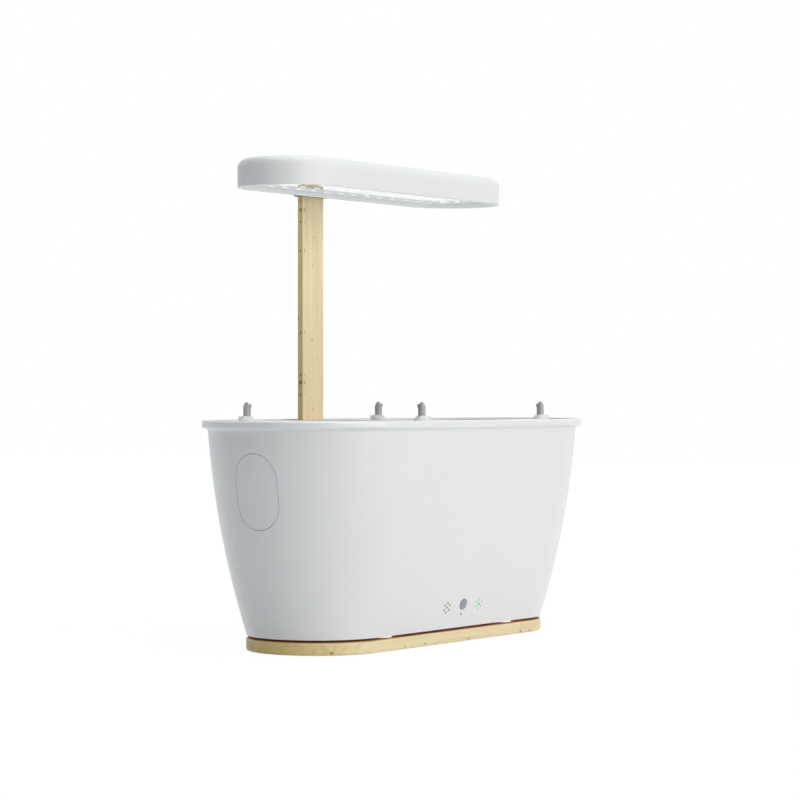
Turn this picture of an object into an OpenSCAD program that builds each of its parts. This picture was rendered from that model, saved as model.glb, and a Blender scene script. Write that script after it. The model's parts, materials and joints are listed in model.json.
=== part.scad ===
// Countertop hydroponic garden: a bowed, stadium-shaped tub on a wooden plinth, with a lift-off deck,
// two slotted grow baskets, four swivelling watering spouts, a tilt-out filling door, a push button
// and an LED lamp that slides on a wooden post.
// +X runs along the tub to its right-hand end, -Y is the front with the button, +Z is up.
// The origin is on the table, under the middle of the tub.

/* [Plinth] */
// Height that the rubber pads hold the plinth above the table
pad_stand = 0.5; // [0.3:0.1:3]
// Thickness of the wooden plinth
plinth_h = 11; // [8:0.5:25]
// End radius of the plinth
plinth_r = 62; // [58:0.5:75]
// Rounding of the plinth's edges
plinth_round = 2; // [0.5:0.5:4]
// Open shadow gap between plinth and tub
shadow_gap = 2; // [1:0.5:8]
// Distance of the screws and pads from the middle, lengthwise
fix_x = 97; // [80:1:110]
// Distance of the screws and pads from the middle, crosswise
fix_y = 48; // [40:1:50]

/* [Tub] */
// Half the distance between the centres of the two round ends
end_x = 125; // [120:1:170]
// Height of the tub, rim included
tub_h = 184.5; // [180:0.5:230]
// End radius at the foot of the wall
foot_r = 61.5; // [60:0.5:66]
// End radius of the wall just under the rim
neck_r = 95; // [93:0.5:105]
// Radius of the wall's outward bow
bow_r = 800; // [600:10:1500]
// Wall thickness of the tub
wall = 3; // [2:0.25:4]
// Thickness of the tub's floor
floor_t = 3; // [2:0.25:6]
// How far the rim stands out past the wall
rim_out = 5; // [3:0.5:10]
// Height of the rim
rim_h = 7; // [6:0.5:14]
// Rounding of the rim's outer edges
rim_round = 2.2; // [0.5:0.1:2.9]
// Width of the rim's top, outside the deck
rim_land = 4; // [3:0.5:5]

/* [Reservoir] */
// Height of the dry space between the tub's floor and the reservoir
dry_h = 35.5; // [34:0.5:50]
// Wall thickness of the reservoir
tank_wall = 2; // [1.5:0.25:2.5]
// Gap between reservoir and tub
tank_gap = 1; // [0.5:0.1:1.5]
// How far the top of the reservoir stays below the deck
tank_drop = 14; // [14:0.5:30]

/* [Deck] */
// Thickness of the deck
deck_t = 3; // [2.5:0.25:5]
// How far the deck lies below the rim's top
deck_drop = 1; // [0.5:0.5:2]
// Gap between deck and rim
deck_gap = 0.5; // [0.3:0.1:1]
// Height of the stiffening collar round each basket hole
collar_h = 5; // [3:0.5:6]

/* [Grow baskets] */
// Distance of each basket from the middle
basket_x = 100; // [92:0.5:108]
// Radius of the basket's flange
flange_r = 68; // [60:0.5:70]
// Thickness of the basket's flange
flange_t = 1.8; // [1.2:0.1:2]
// Outer radius of the basket just under its flange
basket_r = 63.5; // [50:0.5:64]
// Outer radius of the basket's bottom
basket_foot_r = 54; // [40:0.5:58]
// Depth of the basket, flange included
basket_depth = 70; // [50:1:80]
// Wall thickness of the basket
basket_wall = 2; // [1.5:0.25:3]
// Slots round the basket's wall
wall_slots = 24; // [12:2:36]
// Width of each slot
slot_w = 3.4; // [2:0.2:5]

/* [Watering spouts] */
// Distance of each spout from the flange of its basket
spout_out = 9; // [8.5:0.5:12]
// Outer diameter of the spout's tube
spout_d = 6.6; // [5.6:0.2:7.4]
// Height of the spout's tip above the deck
spout_h = 16.7; // [14:0.1:24]
// Bend radius of the tube
spout_bend_r = 5; // [4:0.5:6.5]
// Angle that the tube bends towards its basket
spout_bend = 32; // [20:1:45]
// Width of the slot that the water leaves by
spout_slot = 1.3; // [0.8:0.1:2]
// Diameter of the spout's round foot
spout_foot_d = 15; // [12:0.5:16]
// Height of the spout's round foot
spout_foot_h = 4.5; // [3:0.5:6]
// Outer diameter of the feed hoses
hose_d = 6; // [5:0.5:7]

/* [Post] */
// Width of the wooden post
post_w = 32; // [24:0.5:40]
// Thickness of the wooden post
post_t = 6; // [5:0.25:7]
// Place of the post along the tub
post_x = -27; // [-32:1:-20]
// Depth of the post in its socket
post_seat = 41; // [25:1:43]
// Wall of the socket and of the lamp's collar
sleeve_wall = 2; // [1.5:0.25:2.5]

/* [Lamp] */
// Clear height between the rim and the lamp
lamp_clear = 201; // [160:1:300]
// Half the distance between the centres of the lamp's round ends
lamp_end_x = 127; // [100:1:150]
// End radius of the lamp
lamp_r = 46; // [40:0.5:52]
// Height of the lamp
lamp_h = 25; // [20:0.5:35]
// Rounding of the lamp's top edge
lamp_round = 8; // [3:0.5:12]
// Wall thickness of the lamp
lamp_wall = 3; // [2:0.25:4]
// Place of lamp and post across the tub: gap between the post's socket and the reservoir behind it
lamp_y = 0.4; // [0.4:0.2:12]
// Depth of the LED plate above the lamp's lower edge
led_depth = 3.7; // [3:0.1:8]
// Distance from one LED to the next along a row
led_pitch = 21; // [16:0.5:24]
// Distance from one row of LEDs to the next
led_row = 19.8; // [14:0.2:20.2]
// Rows of LEDs
led_rows = 4; // [2:1:4]
// Height of the collar behind the lamp
lamp_collar_h = 23.5; // [15:0.5:24]

/* [Filling door] */
// Width of the door
door_w = 42; // [36:0.5:46]
// Height of the door
door_h = 64; // [54:0.5:68]
// Height of the door's middle above the tub's foot
door_up = 125; // [118:0.5:132]
// Seam round the door
door_gap = 0.4; // [0.35:0.05:1]
// Height of the hinge above the door's lower end
hinge_up = 21; // [19.5:0.5:24]
// Diameter of the hinge pin
pin_d = 3; // [2:0.5:3]

/* [Controls] */
// Height of the controls above the tub's foot
control_up = 19.4; // [18:0.1:24]
// Place of the button along the tub
control_x = 1; // [-10:0.5:10]
// Distance from the button to the sound holes and to the green light
control_pitch = 26; // [20:0.5:32]
// Diameter of the button
button_d = 10; // [8:0.5:12]
// Travel of the button
button_travel = 1; // [0.5:0.1:1.5]
// Diameter of the sound holes
sound_d = 1.4; // [1:0.1:1.8]
// Distance of the six outer sound holes from the middle one
sound_ring = 4.4; // [3.5:0.1:5]

/* [Hidden] */
// clearances
fit = 0.06;        // radial, a stem or pin that turns in its hole
slide_gap = 0.3;   // each side, pieces that slide past each other
seat_gap = 0.3;    // under a piece that lifts off or turns on its seat
screw_gap = 0.05;  // radial, a screw in its hole
$fn = 64;

// heights
plinth_top = pad_stand + plinth_h;
tub_z = plinth_top + shadow_gap;
floor_z = tub_z + floor_t;
rim_z = tub_z + tub_h;
neck_z = rim_z - rim_h;
deck_top = rim_z - deck_drop;
deck_z = deck_top - deck_t;
tank_z = floor_z + dry_h;
tank_floor = tank_z + tank_wall;
tank_top = deck_z - tank_drop;

// the wall's bow: a circle through the foot and the neck of the wall
chord = [neck_r - foot_r, neck_z - tub_z];
half_chord = norm(chord) / 2;
bow_reach = sqrt(bow_r * bow_r - half_chord * half_chord);
bow_c = [(foot_r + neck_r) / 2 - bow_reach * chord[1] / (2 * half_chord),
         (tub_z + neck_z) / 2 + bow_reach * chord[0] / (2 * half_chord)];
bow_fn = 720;
function wall_r(z, inset = 0) = bow_c[0] + sqrt(pow(bow_r - inset, 2) - pow(z - bow_c[1], 2));
function wall_tilt(z) = asin((bow_c[1] - z) / bow_r);

// rim and deck
rim_r = neck_r + rim_out;
seat_r = rim_r - rim_land;
deck_r = seat_r - deck_gap;

// reservoir
tank_inset = wall + tank_gap;
tank_lip_h = 3;
function tank_r(z) = wall_r(z, tank_inset);

// baskets and spouts
basket_gap = 1;
hole_r = basket_r + basket_gap;
rebate_r = flange_r + deck_gap;
collar_r = rebate_r + 0.5;
spout_reach = flange_r + spout_out;
spout_off = spout_reach / sqrt(2);
spout_at = [[-basket_x - spout_off, spout_off], [basket_x - spout_off, spout_off],
            [-basket_x + spout_off, -spout_off], [basket_x + spout_off, -spout_off]];
spout_turn = [-45, -45, 135, 135];
tube_r = spout_d / 2;
stem_len = 6;
spout_bore = spout_d - 3;
bush_r = tube_r + 3.2;
bush_h = 12;
bush_foot = 1.2;
hose_z = deck_z - bush_h + bush_foot + hose_d / 2;
hose_bore = hose_d - 2.4;
hose_sides = 10;
hose_steps = 4;
port_reach = 10;
manifold_r = 11;
riser_r = 4;
riser_lap = 10;
riser_bore = 5;

// hose routes under the deck, from the manifold to each spout's bush
port_dir = [110, atan2(spout_off, basket_x - spout_off), 180 + atan2(spout_off, basket_x - spout_off), -70];
bush_dir = [45, port_dir[1] + 180, port_dir[2] + 180, 225];
hose_r = collar_r + 8;   // where the hoses pass round a basket's collar
around = [[-14, 40], [-36, 60], [-basket_x + 38, hose_r - 8],
          [-basket_x, hose_r], [-basket_x - 34, hose_r - 7]];
function polar(d, a) = [d * cos(a), d * sin(a)];
function hose_start(i) = polar(manifold_r, port_dir[i]);
function hose_end(i) = spout_at[i] + polar(port_reach, bush_dir[i]);
function hose_points(i) =
    i == 0 ? concat([hose_start(0)], around, [hose_end(0)]) :
    i == 3 ? concat([hose_start(3)], [for (p = around) -p], [hose_end(3)]) :
    [hose_start(i), hose_end(i)];

// post, socket and lamp
collar_gap = slide_gap;
lamp_z = rim_z + lamp_clear;
post_z = deck_z - post_seat;
socket_z = post_z - seat_gap - sleeve_wall;
post_front = tank_r(socket_z) - tank_wall - lamp_y - sleeve_wall - slide_gap - post_t;
post_mid = post_front + post_t / 2;
lamp_back = post_front - sleeve_wall - collar_gap;
lamp_mid = lamp_back - lamp_r;
post_top = lamp_z + lamp_collar_h;
socket_flange_t = 3;
socket_boss_h = 10;
socket_boss_r = 4.5;
socket_screw_x = post_w / 2 + 11;
socket_top = deck_z - seat_gap;
socket_boss_top = socket_top - socket_flange_t;
socket_boss_y = wall_r(socket_boss_top - socket_boss_h, wall) - socket_boss_r + 1.5;
plate_t = 1.6;
led_z = lamp_z + led_depth;
led_n = floor((lamp_end_x + 14) / led_pitch + 0.5);
led = [5, 3, 0.7];
driver = [70, 40];
driver_x = 65;
lamp_boss_x = [for (k = [-1:1]) k * (led_n - 1) * led_pitch];   // midway between two LEDs
lamp_boss_y = 8;

// filling door
door_r = door_w / 2;
door_mid = tub_z + door_up;
door_low = door_mid - door_h / 2;
hinge_z = door_low + hinge_up;
hinge_in = 4;
hinge_x = -end_x - wall_r(hinge_z, wall) + hinge_in;
lip_t = 0.8;
land_w = 4;
ear_in = door_r + 0.7;
ear_out = ear_in + 3.5;
lug_out = door_r - 6;
lug_w = 4;
cheek_r = 31;
cheek_t = 1.6;
cheek_y = 14;
cheek_sweep = 30;

// controls
control_z = tub_z + control_up;
button_z = control_z + 1.5;
dot_z = control_z - 7.4;
board = [92, 24, 1.6];
board_back = 12.6;
board_boss = [40, 8];
jack_x = [40, 66];

// screws
screw_r = 1.9;
screw_head_r = 4;
screw_head_h = 2.6;
screw_len = 22;
counterbore = 6;

// pump and float
pump = [44, 36, 36];
pump_foot_h = 3;
pump_foot_in = 7;
pump_top = tank_floor + pump_foot_h + pump[2];
nozzle_h = 8;
riser_top = hose_z - 6;
float_y = 48;
float_r = 11;
float_h = 14;
float_rise = 30;
stop_h = 3;

// ---- shared forms ----

// a profile (x = radius, y = height) swept round a stadium whose end centres are l from the middle
module stadium_sweep(l) {
    for (turn = [-90, 90])
        rotate([0, 0, turn + 90])
            translate([l, 0, 0])
                rotate([0, 0, -90])
                    rotate_extrude(angle = 180, $fn = 128) children();
    rotate([90, 0, 90])
        linear_extrude(2 * l, center = true) {
            children();
            mirror([1, 0]) children();
        }
}

// half section of a slab with rounded outer edges
module slab_profile(r, h, top, bottom) {
    square([r - top, h]);
    square([r - bottom, h - top]);
    translate([0, bottom]) square([r, h - top - bottom]);
    translate([r - top, h - top]) circle(top);
    translate([r - bottom, bottom]) circle(bottom);
}

module stadium(l, r) {
    square([2 * l, 2 * r], center = true);
    for (s = [-1, 1]) translate([s * l, 0]) circle(r, $fn = 128);
}

module rounded_box(size, r) {
    linear_extrude(size[2]) {
        square([size[0] - 2 * r, size[1]], center = true);
        square([size[0], size[1] - 2 * r], center = true);
        for (x = [-1, 1], y = [-1, 1])
            translate([x * (size[0] / 2 - r), y * (size[1] / 2 - r)]) circle(r);
    }
}

// everything inside the bowed wall, set in by an inset, between two heights
module wall_profile(inset, z0, z1) {
    intersection() {
        translate(bow_c) circle(bow_r - inset, $fn = bow_fn);
        translate([0, z0]) square([rim_r + 20, z1 - z0]);
    }
}

// a place on the front wall: +Z leaves the wall, Y runs up it
module on_front(x, z) {
    translate([x, -wall_r(z), z]) rotate([90 + wall_tilt(z), 0, 0]) children();
}

module on_rear(x, z) {
    rotate([0, 0, 180]) on_front(-x, z) children();
}

module at_fixings() {
    for (x = [-fix_x, fix_x], y = [-fix_y, fix_y]) translate([x, y, 0]) children();
}

module screw(r, len, head_r, head_h) {
    cylinder(r = r, h = len);
    translate([0, 0, -head_h]) cylinder(r = head_r, h = head_h);
}

// ---- plinth ----

module plinth() {
    color("burlywood")
        difference() {
            translate([0, 0, pad_stand])
                stadium_sweep(end_x) slab_profile(plinth_r, plinth_h, plinth_round, plinth_round);
            at_fixings() {
                cylinder(r = screw_r + screw_gap, h = plinth_top + 1);
                cylinder(r = screw_head_r + slide_gap, h = pad_stand + counterbore);
            }
            at_pads() cylinder(r = 8, h = pad_stand + 1);
        }
}

module at_pads() {
    for (x = [-fix_x - 25, fix_x + 25], y = [-fix_y + 12, fix_y - 12]) translate([x, y, 0]) children();
}

module plinth_pads() {
    color("dimgray") at_pads() cylinder(r = 7.7, h = pad_stand + 1);
}

module standoffs() {
    color("white")
        at_fixings()
            translate([0, 0, plinth_top])
                difference() {
                    cylinder(r = 8, h = shadow_gap);
                    translate([0, 0, -1]) cylinder(r = screw_r + screw_gap, h = shadow_gap + 2);
                }
}

module plinth_screws() {
    color("silver")
        at_fixings()
            translate([0, 0, pad_stand + counterbore]) screw(screw_r, screw_len, screw_head_r, screw_head_h);
}

// ---- tub ----

module shell_profile() {
    fillet = 2;
    difference() {
        union() {
            wall_profile(0, tub_z, neck_z + 1);
            translate([0, neck_z]) slab_profile(rim_r, rim_h, rim_round, rim_round);
            difference() {
                translate([neck_r - fillet, neck_z - fillet]) square(2 * fillet);
                translate([neck_r + fillet, neck_z - fillet]) circle(fillet);
            }
        }
        wall_profile(wall, floor_z, deck_z);
        translate([0, deck_z - 1]) square([wall_r(deck_z, wall), deck_t + deck_drop + 2]);
        translate([0, deck_z - seat_gap]) square([seat_r, deck_t + deck_drop + 1]);
    }
}

module door_outline(grow) {
    r = door_r + grow;
    straight = door_h / 2 - door_r;
    translate([-end_x - rim_r, 0, door_mid])
        rotate([90, 0, 90])
            linear_extrude(rim_r) {
                square([2 * r, 2 * straight], center = true);
                for (s = [-1, 1]) translate([0, s * straight]) circle(r);
            }
}

module at_hinge() {
    translate([hinge_x, 0, hinge_z]) rotate([90, 0, 0]) children();
}

// one hinge ear on each side of the door opening, kept inside the tub's skin
module hinge_ears() {
    intersection() {
        at_hinge()
            for (s = [-1, 1])
                translate([0, 0, s * (ear_in + ear_out) / 2])
                    cylinder(d = pin_d + 5, h = ear_out - ear_in, center = true);
        stadium_sweep(end_x) wall_profile(lip_t / 2, floor_z, neck_z);
    }
}

module at_socket_screws() {
    for (s = [-1, 1]) translate([post_x + s * socket_screw_x, socket_boss_y, 0]) children();
}

module through_wall(r) {
    cylinder(r = r, h = 4 * wall, center = true);
}

module tub_shell() {
    color("whitesmoke")
        difference() {
            union() {
                difference() {
                    stadium_sweep(end_x) shell_profile();
                    door_outline(door_gap);
                    // the wall is thinned from inside where the door's lower end swings in
                    intersection() {
                        door_outline(door_gap + land_w);
                        stadium_sweep(end_x) wall_profile(lip_t, floor_z, hinge_z + pin_d);
                    }
                }
                hinge_ears();
                at_fixings() translate([0, 0, floor_z - 1]) cylinder(r = 5, h = dry_h + 1);
                at_socket_screws()
                    translate([0, 0, socket_boss_top - socket_boss_h])
                        cylinder(r = socket_boss_r, h = socket_boss_h);
                at_board_bosses() cylinder(r = 3, h = board_back - board[2] - wall + 0.5);
            }
            at_board_bosses() translate([0, 0, -1]) cylinder(r = 1.2 + screw_gap, h = 7);
            at_fixings() translate([0, 0, tub_z - 1]) cylinder(r = screw_r + screw_gap, h = screw_len);
            at_socket_screws()
                translate([0, 0, socket_boss_top - socket_boss_h + 2])
                    cylinder(r = 1.5 + screw_gap, h = socket_boss_h);
            at_hinge() cylinder(r = pin_d / 2 + fit, h = 2 * ear_out + 2, center = true);
            on_front(control_x, button_z) through_wall(button_d / 2 + slide_gap);
            on_front(control_x, dot_z) through_wall(sound_d / 2);
            on_front(control_x - control_pitch, control_z) {
                through_wall(sound_d / 2);
                for (a = [30:60:330]) rotate(a) translate([sound_ring, 0, 0]) through_wall(sound_d / 2);
            }
            on_front(control_x + control_pitch, control_z) through_wall(light_r + screw_gap);
            for (x = jack_x) on_rear(x, control_z) through_wall(jack_r + screw_gap);
        }
}

// ---- reservoir ----

module reservoir_profile() {
    difference() {
        union() {
            wall_profile(tank_inset, tank_z, tank_top);
            wall_profile(wall + slide_gap, tank_top - tank_lip_h, tank_top);
        }
        wall_profile(tank_inset + tank_wall, tank_floor, tank_top + 1);
    }
}

module reservoir() {
    notch_w = 2 * (ear_out + 2);
    notch_x = hinge_x + cheek_r + 4;
    color("gainsboro")
        difference() {
            stadium_sweep(end_x) reservoir_profile();
            translate([-end_x - rim_r, -notch_w / 2, door_low - 4])
                cube([notch_x + end_x + rim_r, notch_w, tub_h]);
        }
}

// ---- post socket ----

module post_socket() {
    w = post_w + 2 * (slide_gap + sleeve_wall);
    t = post_t + 2 * (slide_gap + sleeve_wall);
    flange_w = 2 * (socket_screw_x + socket_boss_r);
    flange_y = post_front - slide_gap - sleeve_wall;
    flange_l = wall_r(socket_boss_top, wall) - slide_gap - flange_y;
    color("white")
        difference() {
            union() {
                translate([post_x - w / 2, flange_y, socket_z]) cube([w, t, socket_top - socket_z]);
                translate([post_x - flange_w / 2, flange_y, socket_boss_top])
                    cube([flange_w, flange_l, socket_flange_t]);
            }
            translate([post_x - w / 2 + sleeve_wall, flange_y + sleeve_wall, socket_z + sleeve_wall])
                cube([w - 2 * sleeve_wall, t - 2 * sleeve_wall, tub_h]);
            at_socket_screws() {
                translate([0, 0, socket_boss_top - 1]) cylinder(r = 1.5 + screw_gap, h = socket_flange_t + 2);
                translate([0, 0, socket_top - 1.6]) cylinder(r = 3.1, h = 3);
            }
        }
}

module socket_screws() {
    color("silver")
        at_socket_screws()
            translate([0, 0, socket_top - 1.6]) rotate([180, 0, 0]) screw(1.5, 9, 3, 1.5);
}

// ---- controls ----

light_r = 1.3;
jack_r = 5;
buzzer_r = 6;
cap_flange = [1.4, 1.4];
cap_back = wall + 0.4 + cap_flange[1];

module at_board_bosses() {
    on_front(control_x, control_z)
        for (x = [-board_boss[0], board_boss[0]], y = [-board_boss[1], board_boss[1]])
            translate([x, y, -board_back + board[2]]) children();
}

module control_board() {
    color("seagreen")
        on_front(control_x, control_z)
            difference() {
                translate([-board[0] / 2, -board[1] / 2, -board_back]) cube(board);
                for (x = [-board_boss[0], board_boss[0]], y = [-board_boss[1], board_boss[1]])
                    translate([x, y, -board_back - 1]) cylinder(r = 1.2 + screw_gap, h = board[2] + 2);
            }
}

module board_screws() {
    color("silver") at_board_bosses() translate([0, 0, -board[2]]) screw(1.2, 7, 2.4, 1.4);
}

switch_h = 3.4;
stem_play = 2.2;

module tact_switch() {
    rise = button_z - control_z;
    color("black")
        on_front(control_x, control_z)
            translate([0, rise, -board_back + board[2]])
                difference() {
                    translate([-3, -3, 0]) cube([6, 6, switch_h]);
                    translate([0, 0, switch_h - stem_play]) cylinder(r = 1.6 + slide_gap, h = stem_play + 1);
                }
}

module buzzer() {
    color("black")
        on_front(control_x - control_pitch, control_z)
            translate([0, 0, -board_back + board[2]])
                cylinder(r = buzzer_r, h = board_back - board[2] - wall - 0.5);
}

module green_light() {
    color("limegreen")
        on_front(control_x + control_pitch, control_z)
            translate([0, 0, -board_back + board[2]]) cylinder(r = light_r, h = board_back - board[2] + 0.2);
}

module button_cap() {
    proud = 1;
    dome_r = 30;
    color("dimgray")
        on_front(control_x, button_z)
            intersection() {
                union() {
                    translate([0, 0, -cap_back]) cylinder(d = button_d, h = cap_back + proud);
                    translate([0, 0, -cap_back])
                        cylinder(r = button_d / 2 + cap_flange[0], h = cap_flange[1]);
                }
                translate([0, 0, proud - dome_r]) sphere(dome_r, $fn = 128);
            }
}

module button_stem() {
    end = board_back - board[2] - switch_h + stem_play - button_travel - 0.2;
    color("black")
        on_front(control_x, button_z) translate([0, 0, -end]) cylinder(r = 1.5, h = end - cap_back);
}

module jack(x) {
    flange_r = 7;
    flange_t = 1.2;
    color("black")
        on_rear(x, control_z)
            difference() {
                union() {
                    translate([0, 0, -12]) cylinder(r = jack_r, h = 12);
                    cylinder(r = flange_r, h = flange_t);
                }
                translate([0, 0, -9])
                    difference() {
                        cylinder(r = 2.8, h = 12);
                        cylinder(r = 1, h = 9);
                    }
            }
}

module dc_inlet() jack(jack_x[1]);

module lamp_outlet() jack(jack_x[0]);

// ---- pump, riser and float ----

module pump_body() {
    color("dimgray")
        difference() {
            union() {
                translate([0, 0, tank_floor + pump_foot_h]) rounded_box(pump, 6);
                translate([0, 0, pump_top]) cylinder(r = riser_r + 1.5, h = nozzle_h);
            }
            for (i = [-3:3])
                translate([i * 5 - 1.2, -pump[1] / 2 - 1, tank_floor + pump_foot_h + 5]) cube([2.4, 4, 18]);
            translate([0, 0, pump_top + nozzle_h - 5]) cylinder(r = riser_r + screw_gap, h = 6);
        }
}

module pump_feet() {
    color("black")
        for (x = [-1, 1], y = [-1, 1])
            translate([x * (pump[0] / 2 - pump_foot_in), y * (pump[1] / 2 - pump_foot_in), tank_floor])
                cylinder(r1 = 6, r2 = 4, h = pump_foot_h);
}

module riser_pipe() {
    start = pump_top + nozzle_h - 5;
    color("lightgray")
        translate([0, 0, start])
            difference() {
                cylinder(r = riser_r, h = riser_top - start);
                translate([0, 0, -1]) cylinder(r = riser_bore / 2, h = riser_top - start + 2);
            }
}

module float_stem() {
    stem_h = float_h + float_rise;
    color("white")
        translate([0, float_y, tank_floor]) {
            cylinder(r = 8, h = stop_h);
            translate([0, 0, stop_h]) cylinder(r = 3, h = stem_h + 0.3);
            translate([0, 0, stop_h + stem_h + 0.3]) cylinder(r = 6, h = 2);
        }
}

module float() {
    color("orange")
        translate([0, float_y, tank_floor + stop_h])
            difference() {
                cylinder(r = float_r, h = float_h);
                translate([0, 0, -1]) cylinder(r = 3 + slide_gap, h = float_h + 2);
            }
}

// ---- filling door ----

module door_pin() {
    color("silver") at_hinge() cylinder(d = pin_d, h = 2 * ear_out - 1, center = true);
}

module fill_door() {
    color("whitesmoke")
        difference() {
            union() {
                intersection() {
                    stadium_sweep(end_x)
                        difference() {
                            wall_profile(0, floor_z, neck_z);
                            wall_profile(wall, floor_z - 1, neck_z + 1);
                        }
                    door_outline(0);
                }
                intersection() {
                    at_hinge()
                        for (s = [-1, 1])
                            translate([0, 0, s * (lug_out - lug_w / 2)])
                                cylinder(d = pin_d + 5, h = lug_w, center = true);
                    stadium_sweep(end_x) wall_profile(wall / 2, floor_z, neck_z);
                }
            }
            at_hinge() cylinder(r = pin_d / 2 + fit, h = door_w, center = true);
        }
}

// two fan-shaped cheeks behind the door that keep the poured water on it
module fill_chute() {
    color("gainsboro")
        intersection() {
            at_hinge()
                for (s = [-1, 1])
                    translate([0, 0, s * cheek_y - cheek_t / 2])
                        difference() {
                            linear_extrude(cheek_t)
                                intersection() {
                                    circle(cheek_r);
                                    polygon([[0, 6], [-20, 12], [-20, 60], [60 * tan(cheek_sweep), 60]]);
                                }
                            translate([0, 0, -1]) cylinder(d = pin_d + 6, h = cheek_t + 2);
                        }
            stadium_sweep(end_x) wall_profile(wall, floor_z, neck_z);
        }
}

// ---- deck ----

module deck() {
    rib_h = 4;
    rib_front = 15.5 - deck_r;
    rib_back = lamp_back - 9;
    color("white")
        difference() {
            union() {
                translate([0, 0, deck_z]) linear_extrude(deck_t) stadium(end_x, deck_r);
                for (s = [-1, 1])
                    translate([s * basket_x, 0, deck_z - collar_h])
                        cylinder(r = collar_r, h = collar_h + 1, $fn = 128);
                for (x = [-12, 12])
                    translate([x - 1, rib_front, deck_z - rib_h]) cube([2, rib_back - rib_front, rib_h + 1]);
            }
            for (s = [-1, 1])
                translate([s * basket_x, 0, 0]) {
                    translate([0, 0, deck_z - collar_h - 1])
                        cylinder(r = hole_r, h = collar_h + deck_t + 2, $fn = 128);
                    translate([0, 0, deck_top - flange_t - seat_gap])
                        cylinder(r = rebate_r, h = flange_t + 1, $fn = 128);
                }
            translate([post_x, post_mid, deck_z - rib_h])
                cube([post_w + 2 * slide_gap, post_t + 2 * slide_gap, 4 * rib_h], center = true);
            for (p = spout_at)
                translate([p[0], p[1], deck_z - collar_h - 1])
                    cylinder(r = tube_r + slide_gap, h = collar_h + deck_t + 2);
        }
}

module manifold() {
    block_h = hose_d + 2;
    block_z = hose_z - block_h / 2;
    color("silver")
        difference() {
            union() {
                translate([0, 0, block_z]) cylinder(r = manifold_r - 2, h = block_h);
                translate([0, 0, block_z + block_h]) cylinder(r = 6, h = deck_z - block_z - block_h);
                translate([0, 0, riser_top - riser_lap]) cylinder(r = riser_r + 2, h = riser_lap + 2);
                for (a = port_dir)
                    translate([0, 0, hose_z]) rotate([0, 90, a]) cylinder(d = hose_d + 1, h = manifold_r);
            }
            translate([0, 0, riser_top - riser_lap - 1]) cylinder(r = riser_r + fit, h = riser_lap + 1);
            translate([0, 0, riser_top - 1]) cylinder(r = riser_bore / 2, h = hose_z - riser_top + 1);
            for (a = port_dir)
                translate([0, 0, hose_z]) rotate([0, 90, a]) cylinder(d = hose_bore, h = manifold_r + 1);
        }
}

module spout_bushes() {
    color("silver")
        for (i = [0:3])
            translate([spout_at[i][0], spout_at[i][1], 0])
                difference() {
                    union() {
                        translate([0, 0, deck_z - bush_h]) cylinder(r = bush_r, h = bush_h);
                        translate([0, 0, hose_z])
                            rotate([0, 90, bush_dir[i]]) cylinder(d = hose_d, h = port_reach);
                    }
                    translate([0, 0, deck_z - stem_len - seat_gap])
                        cylinder(r = tube_r + fit, h = stem_len + 1);
                    translate([0, 0, hose_z - 1]) cylinder(d = hose_bore, h = bush_h);
                    translate([0, 0, hose_z])
                        rotate([0, 90, bush_dir[i]]) cylinder(d = hose_bore, h = port_reach + 1);
                }
}

// a smooth curve through a list of points, with even steps on each stretch
function bend(a, b, c, d, t) =
    0.5 * (2 * b + (c - a) * t + (2 * a - 5 * b + 4 * c - d) * t * t + (3 * b - a - 3 * c + d) * t * t * t);
function curve(p) = [for (i = [0:len(p) - 2], k = [0:hose_steps - 1])
                        bend(p[max(i - 1, 0)], p[i], p[i + 1], p[min(i + 2, len(p) - 1)], k / hose_steps),
                     p[len(p) - 1]];
function along(c, i) = let (a = c[max(i - 1, 0)], b = c[min(i + 1, len(c) - 1)]) (b - a) / norm(b - a);

module hose(i) {
    line = len(hose_points(i)) > 2 ? curve(hose_points(i)) : hose_points(i);
    last = len(line) - 1;
    ring = hose_sides;
    points = [for (j = [0:last], k = [0:ring - 1])
                let (dir = j == 0 ? polar(1, port_dir[i]) :
                           j == last ? -polar(1, bush_dir[i]) : along(line, j),
                     a = 360 * (k + 0.5) / ring,
                     side = hose_d / 2 * cos(a))
                [line[j][0] - dir[1] * side, line[j][1] + dir[0] * side, hose_z + hose_d / 2 * sin(a)]];
    faces = concat(
        [[for (k = [0:ring - 1]) k]],
        [for (j = [0:last - 1], k = [0:ring - 1])
            [j * ring + k, (j + 1) * ring + k, (j + 1) * ring + (k + 1) % ring, j * ring + (k + 1) % ring]],
        [[for (k = [ring - 1:-1:0]) last * ring + k]]);
    polyhedron(points, faces);
}

module feed_hoses() {
    color("lightgray") for (i = [0:3]) hose(i);
}

// ---- spouts ----

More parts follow.
